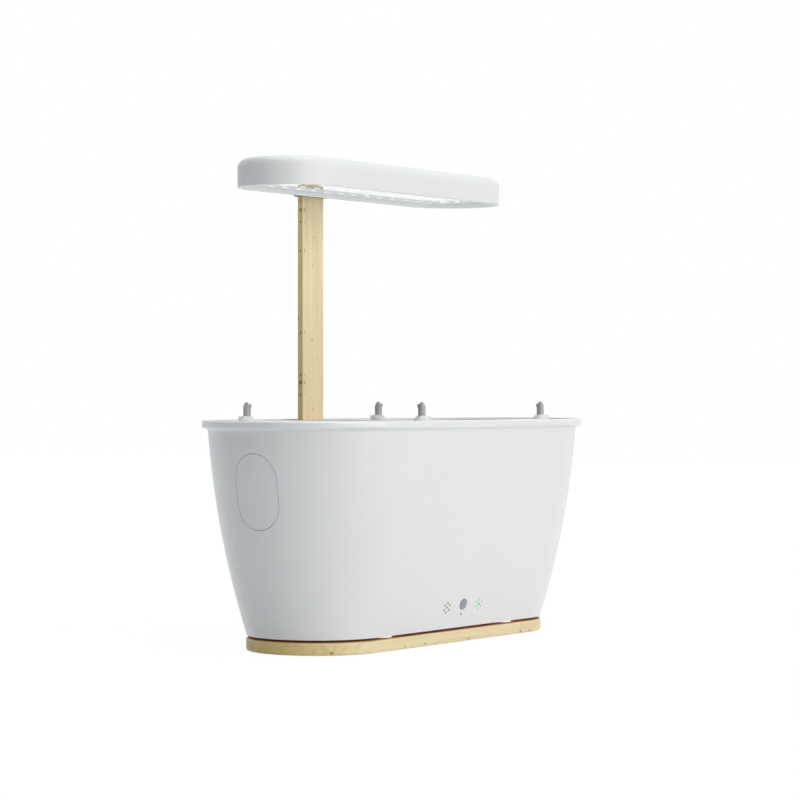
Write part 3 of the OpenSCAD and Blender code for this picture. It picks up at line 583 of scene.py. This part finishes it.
# ---------------------------------------------------------------------------
# Reservoir and the door's chute
# Thin grey polypropylene, moulded to the tub's inner shape and set on its bosses. Two fan-shaped cheeks
# of the same plastic stand behind the door and keep the water between them.
# ---------------------------------------------------------------------------
dress(plastic("reservoir_grey", (0.55, 0.56, 0.58), rough=0.35), "reservoir", "fill_chute")

# ---------------------------------------------------------------------------
# Post socket
# A white moulded sleeve under the deck that the post drops into. Two screws hold its flange to bosses
# in the tub's rear wall.
# ---------------------------------------------------------------------------
deck_white = plastic("deck_white", (0.78, 0.78, 0.78), rough=0.4)
dress(deck_white, "post_socket")
low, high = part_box("socket_screws")
screw_y = (low.y + high.y) / 2
head_r, head_h = 0.003, 0.0015
screws(
    "socket_cross_screws",
    "socket_screws",
    "base",
    [(x, screw_y, high.z - head_h) for x in (low.x + head_r, high.x - head_r)],
    (0, 0, 1),
    (head_r, head_h),
    (0.0015, 0.009),
)

# ---------------------------------------------------------------------------
# Control board
# A green circuit board on four bosses behind the front wall, with copper tracks under its lacquer, a
# push switch and a buzzer in black nylon.
# ---------------------------------------------------------------------------
mounts = {m["name"]: m for m in frame["record"]["mounts"]}
rear_y, control_z = mounts["dc_inlet"]["pos_m"][1:]
lean_y, lean_z = mounts["dc_inlet"]["axis"][1:]
wall_out = Vector((0, -lean_y, lean_z))
wall_up = Vector((0, lean_z, lean_y))
control_x = 0.001


def on_wall(x, up, out=0.0):
    """A place on the front wall at the controls' height: x along it, up the wall and out of it."""
    return Vector((control_x + x, -rear_y, control_z)) + wall_up * up + wall_out * out


lacquer, tree, shader, place = new_material("board_lacquer")
tracks = put(
    tree,
    "ShaderNodeTexBrick",
    Vector=place["Object"],
    Color1=(0.015, 0.11, 0.045, 1),
    Color2=(0.018, 0.14, 0.055, 1),
    Mortar=(0.05, 0.26, 0.10, 1),
    Scale=160.0,
    Mortar_Size=0.045,
    Mortar_Smooth=0.4,
    offset=0.35,
)
dust = put(tree, "ShaderNodeTexNoise", Vector=place["Object"], Scale=90.0, Detail=3.0)
lift = put(tree, "ShaderNodeBump", Strength=0.2, Distance=0.0001, Height=tracks.outputs["Fac"])
fill(shader, Base_Color=tracks, Roughness=ranged(tree, dust, 0.3, 0.7, 0.22, 0.42), Normal=lift)
dress(lacquer, "control_board")
board_back = -0.0126
board_hole_x, board_hole_up = 0.040, 0.008
screws(
    "board_cross_screws",
    "board_screws",
    "base",
    [
        on_wall(x, up, board_back)
        for x in (-board_hole_x, board_hole_x)
        for up in (-board_hole_up, board_hole_up)
    ],
    tuple(-wall_out),
    (0.0024, 0.0014),
    (0.0012, 0.007),
)
black_nylon = plastic("black_nylon", (0.012, 0.012, 0.013), rough=0.5, depth=0.15)
dress(black_nylon, "tact_switch", "buzzer")

# ---------------------------------------------------------------------------
# Push button
# A domed cap of violet-grey acrylic under a clear gloss, on a black nylon stem that slides through the
# wall and presses the switch.
# ---------------------------------------------------------------------------
violet = plastic(
    "button_violet",
    (0.272, 0.272, 0.328),
    rough=0.3,
    spread=0.12,
    edge=0.0004,
    Coat_Weight=0.5,
    Coat_Roughness=0.08,
)
dress(violet, "button_cap")
dress(black_nylon, "button_stem")

# ---------------------------------------------------------------------------
# Sound holes and their cloth
# Seven holes for the buzzer and one for the microphone below the button, each closed from behind by a disc of
# woven acoustic cloth, and each with a thin dark ring round its edge: painted shade that makes the hole look
# wider and deeper.
# ---------------------------------------------------------------------------
disc_tree, enter, leave = shape_tree("cloth_discs", Radius="Float", Thickness="Float", Finish="Material")
stand_on_spots(disc_tree, enter, leave, cylinder(disc_tree, 24, enter["Radius"], enter["Thickness"]))

# a thin dark ring round a hole: painted shade that makes the hole look wider
ring_tree, enter, leave = shape_tree(
    "printed_rings", Radius="Float", Bore="Float", Film="Float", Finish="Material"
)
ring_disc = cylinder(ring_tree, 32, enter["Radius"], enter["Film"])
ring_bore = cylinder(ring_tree, 32, enter["Bore"], calc(ring_tree, "MULTIPLY", enter["Film"], 3.0))
stand_on_spots(ring_tree, enter, leave, cut(ring_tree, ring_disc, ring_bore))


def cloth(name, shade):
    """Fine woven cloth: crossed waves a third of a millimetre apart."""
    made, tree, shader, place = new_material(name)
    weft, warp = (
        put(
            tree,
            "ShaderNodeTexWave",
            bands_direction=way,
            Vector=place["Object"],
            Scale=950.0,
            Distortion=0.4,
        ).outputs["Fac"]
        for way in "XZ"
    )
    woven = calc(tree, "MAXIMUM", weft, warp)
    dark = shade * 0.55
    fill(
        shader,
        Base_Color=mixed(tree, woven, (dark, dark, dark, 1), (shade, shade, shade, 1)),
        Roughness=ranged(tree, woven, 0.0, 1.0, 0.95, 0.8),
        Normal=put(tree, "ShaderNodeBump", Strength=0.4, Distance=0.0001, Height=woven),
    )
    return made


control_pitch = 0.026
sound_ring = 0.0044
hole_radius = 0.0007
cloth_depth = -0.00025
print_and_shade_lift = 0.00001
microphone_low = 0.0074
sound_places = [(-control_pitch, 0)] + [
    (-control_pitch + sound_ring * math.cos(math.radians(a)), sound_ring * math.sin(math.radians(a)))
    for a in range(30, 360, 60)
]
microphone_place = [(0, -microphone_low / lean_y)]
for name, places, shade in (
    ("sound_cloth", sound_places, 0.03),
    ("microphone_cloth", microphone_place, 0.004),
):
    piece = grown(
        name,
        spots(name, [on_wall(x, up, cloth_depth) for x, up in places], [wall_out] * len(places)),
        disc_tree,
        Radius=hole_radius,
        Thickness=0.0003,
        Finish=cloth(name, shade),
    )
    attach(piece, "base")
# rings of painted shade round every hole
piece = grown(
    "hole_rings",
    spots(
        "hole_rings",
        [on_wall(x, up, print_and_shade_lift) for x, up in sound_places + microphone_place],
        [wall_out] * (len(sound_places) + 1),
    ),
    ring_tree,
    Radius=0.001,
    Bore=hole_radius + 0.00002,
    Film=0.00006,
    Finish=plastic("dark_ink", (0.05, 0.05, 0.055), rough=0.6, edge=0.0001),
)
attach(piece, "base")

# ---------------------------------------------------------------------------
# Green light and its printed rays
# A light pipe of green acrylic that brings the board's light through the wall. Six short grey dashes
# are screen-printed round it.
# ---------------------------------------------------------------------------
lens, tree, shader, place = new_material("green_lens", Emission_Strength=0.15)
haze = put(tree, "ShaderNodeTexNoise", Vector=place["Object"], Scale=700.0, Detail=2.0)
glow = mixed(tree, haze, (0.03, 0.45, 0.06, 1), (0.06, 0.62, 0.10, 1))
fill(shader, Base_Color=glow, Emission_Color=glow, Roughness=ranged(tree, haze, 0.3, 0.7, 0.2, 0.35))
dress(lens, "green_light")

ray_tree, enter, leave = shape_tree(
    "printed_rays",
    Count="Int",
    Ring="Float",
    Turn="Float",
    Half_Width="Float",
    Half_Length="Float",
    Film="Float",
    Finish="Material",
)
dash_disc = cylinder(ray_tree, 16, 1.0, enter["Film"])
dash_size = put(ray_tree, "ShaderNodeCombineXYZ", enter["Half Length"], enter["Half Width"], 1.0)
dash = put(ray_tree, "GeometryNodeTransform", Geometry=dash_disc, Scale=dash_size)
ring = put(ray_tree, "GeometryNodeMeshCircle", Vertices=enter["Count"], Radius=enter["Ring"])
number = calc(ray_tree, "MULTIPLY", put(ray_tree, "GeometryNodeInputIndex"), 2 * math.pi)
ray_turn = put(ray_tree, "ShaderNodeCombineXYZ", Z=calc(ray_tree, "DIVIDE", number, enter["Count"]))
rays = put(ray_tree, "GeometryNodeInstanceOnPoints", Points=ring, Instance=dash, Rotation=ray_turn)
rays_turned = put(
    ray_tree,
    "GeometryNodeTransform",
    Geometry=put(ray_tree, "GeometryNodeRealizeInstances", rays),
    Rotation=put(ray_tree, "ShaderNodeCombineXYZ", Z=enter["Turn"]),
)
stand_on_spots(ray_tree, enter, leave, rays_turned)
piece = grown(
    "light_rays",
    spots("light_rays", [on_wall(control_pitch, 0, print_and_shade_lift)], [wall_out]),
    ray_tree,
    Count=6,
    Ring=0.0045,
    Turn=math.pi / 6,
    Half_Width=0.0004,
    Half_Length=0.001,
    Film=0.00008,
    Finish=plastic("grey_ink", (0.22, 0.22, 0.23), rough=0.6, edge=0.0001),
)
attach(piece, "base")

# ---------------------------------------------------------------------------
# Power sockets
# Round black nylon sockets with a centre pin: one for the supply and one for the lamp in the tub's
# rear wall, one in the back of the lamp.
# ---------------------------------------------------------------------------
dress(black_nylon, "dc_inlet", "lamp_outlet", "lamp_inlet")

# ---------------------------------------------------------------------------
# Pump, riser, manifold and float
# A small submersible pump on rubber feet, a grey riser that plugs into the manifold under the deck,
# and an orange foam float on a grey stem.
# ---------------------------------------------------------------------------
dress(plastic("pump_grey", (0.02, 0.02, 0.022), rough=0.5), "pump_body")
dress(pad_rubber, "pump_feet")
pipe_grey = plastic("pipe_grey", (0.50, 0.51, 0.52), rough=0.25)
dress(pipe_grey, "riser_pipe", "float_stem", "manifold", "spout_bushes")
dress(plastic("float_orange", (0.70, 0.13, 0.02), rough=0.7, spread=0.15, grain=1500.0, depth=0.5), "float")

# ---------------------------------------------------------------------------
# Feed hoses
# Four lengths of clear silicone hose from the manifold's ports to the spouts' bushes. The two outer
# ones run round the baskets' collars.
# ---------------------------------------------------------------------------
hose_tree, enter, leave = shape_tree("hose_run", Radius="Float", Sides="Int", Finish="Material")
hose_line = put(hose_tree, "GeometryNodeMeshToCurve", enter["Geometry"])
hose_ring = put(
    hose_tree, "GeometryNodeCurvePrimitiveCircle", Resolution=enter["Sides"], Radius=enter["Radius"]
)
hose_wall = put(
    hose_tree, "GeometryNodeCurveToMesh", Curve=hose_line, Profile_Curve=hose_ring, Fill_Caps=True
)
finished(hose_tree, enter, leave, hose_wall)


def smooth_run(points, steps):
    """Points on a smooth curve through all of the given ones."""
    made = []
    for i in range(len(points) - 1):
        a, b, c, d = (points[max(0, min(len(points) - 1, i + k))] for k in (-1, 0, 1, 2))
        square = 2 * a - 5 * b + 4 * c - d
        cube = 3 * b - a - 3 * c + d
        for k in range(steps):
            t = k / steps
            made.append(0.5 * (2 * b + (c - a) * t + square * t * t + cube * t**3))
    return made + [points[-1]]


basket_x = 0.100
manifold_r, port_reach, hose_r = 0.011, 0.010, 0.077
spout_off = hose_r / math.sqrt(2)
hose_low, hose_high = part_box("feed_hoses")
hose_z = (hose_low.z + hose_high.z) / 2
inner_way = math.degrees(math.atan2(spout_off, basket_x - spout_off))
# each hose: the way its port looks, its bush, the way that looks and the side it passes its basket on
hose_ways = [
    (110, (-basket_x - spout_off, spout_off), 45, 1),
    (inner_way, (basket_x - spout_off, spout_off), inner_way + 180, 0),
    (180 + inner_way, (-basket_x + spout_off, -spout_off), inner_way, 0),
    (-70, (basket_x + spout_off, -spout_off), 225, -1),
]
outer_round = [
    (-0.014, 0.040),
    (-0.036, 0.060),
    (-basket_x + 0.038, hose_r - 0.008),
    (-basket_x, hose_r),
    (-basket_x - 0.034, hose_r - 0.007),
]
hose_steps = 10
hose_points, hose_edges = [], []
for port_way, (x, y), bush_way, around in hose_ways:
    port_way, bush_way = math.radians(port_way), math.radians(bush_way)
    start = Vector((manifold_r * math.cos(port_way), manifold_r * math.sin(port_way), hose_z))
    end = Vector((x + port_reach * math.cos(bush_way), y + port_reach * math.sin(bush_way), hose_z))
    middle = [Vector((px * around, py * around, hose_z)) for px, py in outer_round] if around else []
    line = smooth_run([start] + middle + [end], hose_steps) if middle else [start, end]
    hose_edges += [(len(hose_points) + i, len(hose_points) + i + 1) for i in range(len(line) - 1)]
    hose_points += line
hose_mesh = bpy.data.meshes.new("silicone_hoses")
hose_mesh.from_pydata([tuple(p) for p in hose_points], hose_edges, [])
piece = grown(
    "silicone_hoses",
    hose_mesh,
    hose_tree,
    Radius=0.003,
    Sides=20,
    Finish=plastic("hose_silicone", (0.60, 0.62, 0.63), rough=0.3, depth=0.03),
)
piece.data.shade_smooth()
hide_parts("feed_hoses")
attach(piece, "deck")

# ---------------------------------------------------------------------------
# Deck and spout feet
# The lid of the tub, moulded in the tub's white with two round openings, and the low cones with their
# square lugs that the spouts turn in.
# ---------------------------------------------------------------------------
dress(deck_white, "deck", "spout_feet")

# ---------------------------------------------------------------------------
# Spouts
# Four bent tubes of mid-grey nylon with a rounded, slotted tip. Each stands in its foot and turns
# there on the bush that its hose feeds.
# ---------------------------------------------------------------------------
dress(
    plastic("spout_grey", (0.40, 0.40, 0.405), rough=0.36, spread=0.1, edge=0.0003),
    "spout_1",
    "spout_2",
    "spout_3",
    "spout_4",
)

# ---------------------------------------------------------------------------
# Grow baskets
# Slotted net pots of natural polypropylene, slightly milky. They hang in the deck by their flanges and
# lift out.
# ---------------------------------------------------------------------------
dress(
    plastic("basket_natural", (0.70, 0.71, 0.71), rough=0.36, Subsurface_Weight=0.2, Subsurface_Scale=0.003),
    "basket_left",
    "basket_right",
)

# ---------------------------------------------------------------------------
# Post
# A flat lath of the plinth's pine, its grain upright, with pin knots that wrap round its left corner.
# It drops through the deck's slot into its socket.
# ---------------------------------------------------------------------------
post_low, post_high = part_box("post")
front_y = post_low.y * 1000
corner_x = post_low.x * 1000
corner_knots = [
    (395, 0.9, 0.55),
    (387, 1.5, 0.95),
    (376, 1.1, 0.8),
    (350, 1.1, 0.85),
    (276, 1.2, 0.85),
    (238, 1.2, 0.7),
    (231, 1.7, 1.0),
    (220, 1.0, 0.85),
]
# each knot on the corner shows on the lath's side and, smaller and fainter, on its front
side_in, front_in = 2.4, 2.6
post_knots = []
for z, radius, depth in corner_knots:
    post_knots.append((corner_x, front_y + side_in, z, radius, depth))
    post_knots.append((corner_x + front_in, front_y, z, radius * 0.9, depth * 0.6))
post_knots += [
    (corner_x, front_y + 5, 289, 1.1, 0.8),
    (-22, front_y, 379, 0.9, 0.45),
    (-26, front_y, 363, 1.1, 0.5),
    (-21, front_y, 353, 0.8, 0.3),
    (-27, front_y, 337, 1.1, 0.6),
    (-24, front_y, 308, 1.0, 0.4),
    (-20, front_y, 301, 1.1, 0.25),
    (-29, front_y, 270, 1.3, 0.6),
    (-20, front_y, 252, 0.8, 0.6),
    (-22, front_y, 223, 0.8, 0.4),
    (-27, front_y, 207, 1.1, 0.5),
    (-34, post_high.y * 1000, 320, 1.4, 0.8),
    (-19, post_high.y * 1000, 265, 1.2, 0.7),
]
dress(
    wood(
        "pine_post",
        (0, math.pi / 2, 0),
        post_knots,
        (0.9, 0.9, 1.3),
        Pale=(0.87, 0.765, 0.475, 1),
        Warm=(0.88, 0.725, 0.49, 1),
        Streak=(0.62, 0.47, 0.25, 1),
        # painted shade for the lath's faces turned along x
        Oiled=(0.80, 0.60, 0.25, 1),
        # painted shade for faces looking up
        Covered=(0.80, 0.60, 0.35, 1),
    ),
    "post",
)

# ---------------------------------------------------------------------------
# Lamp housing
# A shallow white oval shell with a rounded top edge, moulded in the tub's plastic. The inside of its rim,
# below the plate, glows with painted light that stands in for the light of the LEDs.
# ---------------------------------------------------------------------------
lamp_white = white_moulding("lamp_white", rough=0.5, edge=0.0006, coat=0.15, Emission_Strength=1.0)
led_low, led_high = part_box("leds")
tree, shader = lamp_white.node_tree, lamp_white.node_tree.nodes["Principled BSDF"]
place = put(tree, "ShaderNodeTexCoord").outputs
from_middle = vector_calc(tree, "SUBTRACT", place["Object"], (led_low + led_high) / 2)
apart = put(tree, "ShaderNodeSeparateXYZ", from_middle).outputs
plate_low, plate_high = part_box("led_plate")
plate_round = (plate_high.y - plate_low.y) / 2
straight = (plate_high.x - plate_low.x) / 2 - plate_round
past_end = calc(tree, "SUBTRACT", calc(tree, "ABSOLUTE", apart["X"]), straight)
flat = put(tree, "ShaderNodeCombineXYZ", calc(tree, "MAXIMUM", past_end, 0.0), apart["Y"])
reach = vector_calc(tree, "LENGTH", flat)
# the painted glow ends in the thickness of the rim and a little above the LEDs
glow_full_reach, dark_reach, dark_height = plate_round + 0.0006, plate_round + 0.0010, 0.0012
inside = ranged(tree, reach, dark_reach, glow_full_reach)
below = ranged(tree, apart["Z"], dark_height, 0.0)
# painted light: the emission colour is lit only on the rim's inside, below the plate
painted_rim_glow = mixed(tree, calc(tree, "MULTIPLY", inside, below), (0, 0, 0, 1), (0.16, 0.16, 0.155, 1))
fill(shader, Emission_Color=painted_rim_glow)
dress(lamp_white, "lamp_housing")

# ---------------------------------------------------------------------------
# LED plate
# A white-lacquered aluminium plate, polished so flat that at a low angle it mirrors the room. Six
# screws hold it up in the housing.
# ---------------------------------------------------------------------------
mirror_lacquer, tree, shader, place = new_material(
    "mirror_lacquer", IOR=1.6, Coat_Weight=1.0, Coat_Roughness=0.02, Coat_IOR=1.9
)
wipe = put(tree, "ShaderNodeTexNoise", Vector=place["Object"], Scale=22.0, Detail=3.0)
fill(
    shader,
    Base_Color=mixed(tree, wipe, (0.85, 0.86, 0.87, 1), (0.88, 0.89, 0.90, 1)),
    Roughness=ranged(tree, wipe, 0.3, 0.7, 0.02, 0.05),
)
dress(mirror_lacquer, "led_plate")

# ---------------------------------------------------------------------------
# LEDs
# Four rows of surface-mounted packages soldered to the plate: a white frame round a sunk window of pale
# yellow phosphor. The phosphor gives the LEDs' light; the frame glows faintly too, painted light.
# ---------------------------------------------------------------------------
led_length, led_width, led_depth = 0.005, 0.003, 0.00035
led_columns, led_rows = 14, 4
led_tree, enter, leave = shape_tree(
    "led_rows",
    Columns="Int",
    Rows="Int",
    Reach_Along="Float",
    Reach_Across="Float",
    Length="Float",
    Width="Float",
    Depth="Float",
    Frame="Material",
    Phosphor="Material",
)
led_grid = put(
    led_tree,
    "GeometryNodeMeshGrid",
    Vertices_X=enter["Columns"],
    Vertices_Y=enter["Rows"],
    Size_X=enter["Reach Along"],
    Size_Y=enter["Reach Across"],
)
led_size = put(led_tree, "ShaderNodeCombineXYZ", enter["Length"], enter["Width"], enter["Depth"])
package = put(led_tree, "GeometryNodeMeshCube", Size=led_size)
framed = put(led_tree, "GeometryNodeSetMaterial", Geometry=package, Material=enter["Frame"])
face_way = put(led_tree, "ShaderNodeSeparateXYZ", put(led_tree, "GeometryNodeInputNormal")).outputs
looks_down = calc(led_tree, "LESS_THAN", face_way["Z"], -0.5)
window_edge = put(
    led_tree, "GeometryNodeExtrudeMesh", mode="FACES", Mesh=framed, Selection=looks_down, Offset_Scale=0.0
).outputs
window_size = put(
    led_tree,
    "GeometryNodeScaleElements",
    domain="FACE",
    Geometry=window_edge["Mesh"],
    Selection=window_edge["Top"],
    Scale=0.74,
)
window = put(
    led_tree,
    "GeometryNodeExtrudeMesh",
    mode="FACES",
    Mesh=window_size,
    Selection=window_edge["Top"],
    Offset_Scale=calc(led_tree, "MULTIPLY", enter["Depth"], -0.35),
).outputs
glazed = put(
    led_tree,
    "GeometryNodeSetMaterial",
    Geometry=window["Mesh"],
    Selection=window["Top"],
    Material=enter["Phosphor"],
)
led_copies = put(led_tree, "GeometryNodeInstanceOnPoints", Points=led_grid, Instance=glazed)
fill(leave, Geometry=put(led_tree, "GeometryNodeRealizeInstances", led_copies))
# the frames glow faintly: painted light, not the LEDs' own
led_frame = plastic("led_frame", (0.86, 0.86, 0.85), rough=0.35, edge=0.0001, Emission_Strength=0.4)
phosphor = plastic(
    "led_phosphor",
    (0.85, 0.80, 0.50),
    rough=0.45,
    grain=6000.0,
    depth=0.15,
    edge=0.0001,
    Emission_Color=(1.0, 0.97, 0.90, 1),
    Emission_Strength=0.4,
)
piece = grown(
    "led_packages",
    bpy.data.meshes.new("led_packages"),
    led_tree,
    Columns=led_columns,
    Rows=led_rows,
    Reach_Along=led_high.x - led_low.x - led_length,
    Reach_Across=led_high.y - led_low.y - led_width,
    Length=led_length,
    Width=led_width,
    Depth=led_depth,
    Frame=led_frame,
    Phosphor=phosphor,
)
led_middle = (led_low + led_high) / 2
led_middle.z = led_high.z - led_depth / 2
for vertex in piece.data.vertices:
    vertex.co += led_middle
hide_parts("leds")
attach(piece, "lamp")

# ---------------------------------------------------------------------------
# Lamp driver and screws
# A potted supply in a grey case above the plate, and six white-lacquered pan-head screws that hold the plate
# up; they share the LED frames' finish and glow faintly with painted light.
# ---------------------------------------------------------------------------
dress(plastic("driver_case", (0.16, 0.17, 0.18), rough=0.5, grain=900.0, depth=0.2), "lamp_driver")
low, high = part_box("lamp_screws")
head_r, head_h = 0.003, 0.0014
screws(
    "plate_cross_screws",
    "lamp_screws",
    "lamp",
    [
        (x, y, low.z + head_h)
        for x in (low.x + head_r, 0.0, high.x - head_r)
        for y in (low.y + head_r, high.y - head_r)
    ],
    (0, 0, -1),
    (head_r, head_h),
    (0.0015, 0.008),
    # the screws take the frames' glowing finish: painted light
    led_frame,
)

# ---------------------------------------------------------------------------
# Lamp collar
# A dark grey sleeve screwed to the back of the lamp, its corners rounded in the mould. It grips the
# post through a rubber pad, so the lamp stays where it is slid to.
# ---------------------------------------------------------------------------
sleeve_mesh = nodes["lamp_collar"].data.copy()
sleeve = bmesh.new()
sleeve.from_mesh(sleeve_mesh)
bmesh.ops.remove_doubles(sleeve, verts=sleeve.verts, dist=0.00001)
bmesh.ops.dissolve_limit(sleeve, angle_limit=math.radians(0.5), verts=sleeve.verts, edges=sleeve.edges)
# only the sleeve's own corners are rounded, not the fine edges of its holes
sharp, short = 1.2, 0.004
corner_edges = [
    e for e in sleeve.edges if e.is_manifold and e.calc_face_angle(0) > sharp and e.calc_length() > short
]
bmesh.ops.bevel(
    sleeve, geom=corner_edges, offset=0.0006, segments=3, profile=0.5, affect="EDGES", clamp_overlap=True
)
sleeve.to_mesh(sleeve_mesh)
sleeve.free()
piece = mesh_object("collar_sleeve", sleeve_mesh)
sleeve_mesh.materials.clear()
sleeve_mesh.materials.append(plastic("collar_grey", (0.055, 0.055, 0.06), rough=0.45, edge=0.0003))
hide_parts("lamp_collar")
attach(piece, "lamp")
dress(pad_rubber, "collar_pad")
low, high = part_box("collar_screws")
screw_z = (low.z + high.z) / 2
head_r, head_h = 0.003, 0.002
screws(
    "collar_cross_screws",
    "collar_screws",
    "lamp",
    [(x, low.y + head_h, screw_z) for x in (low.x + head_r, high.x - head_r)],
    (0, -1, 0),
    (head_r, head_h),
    (0.0015, 0.0048),
)
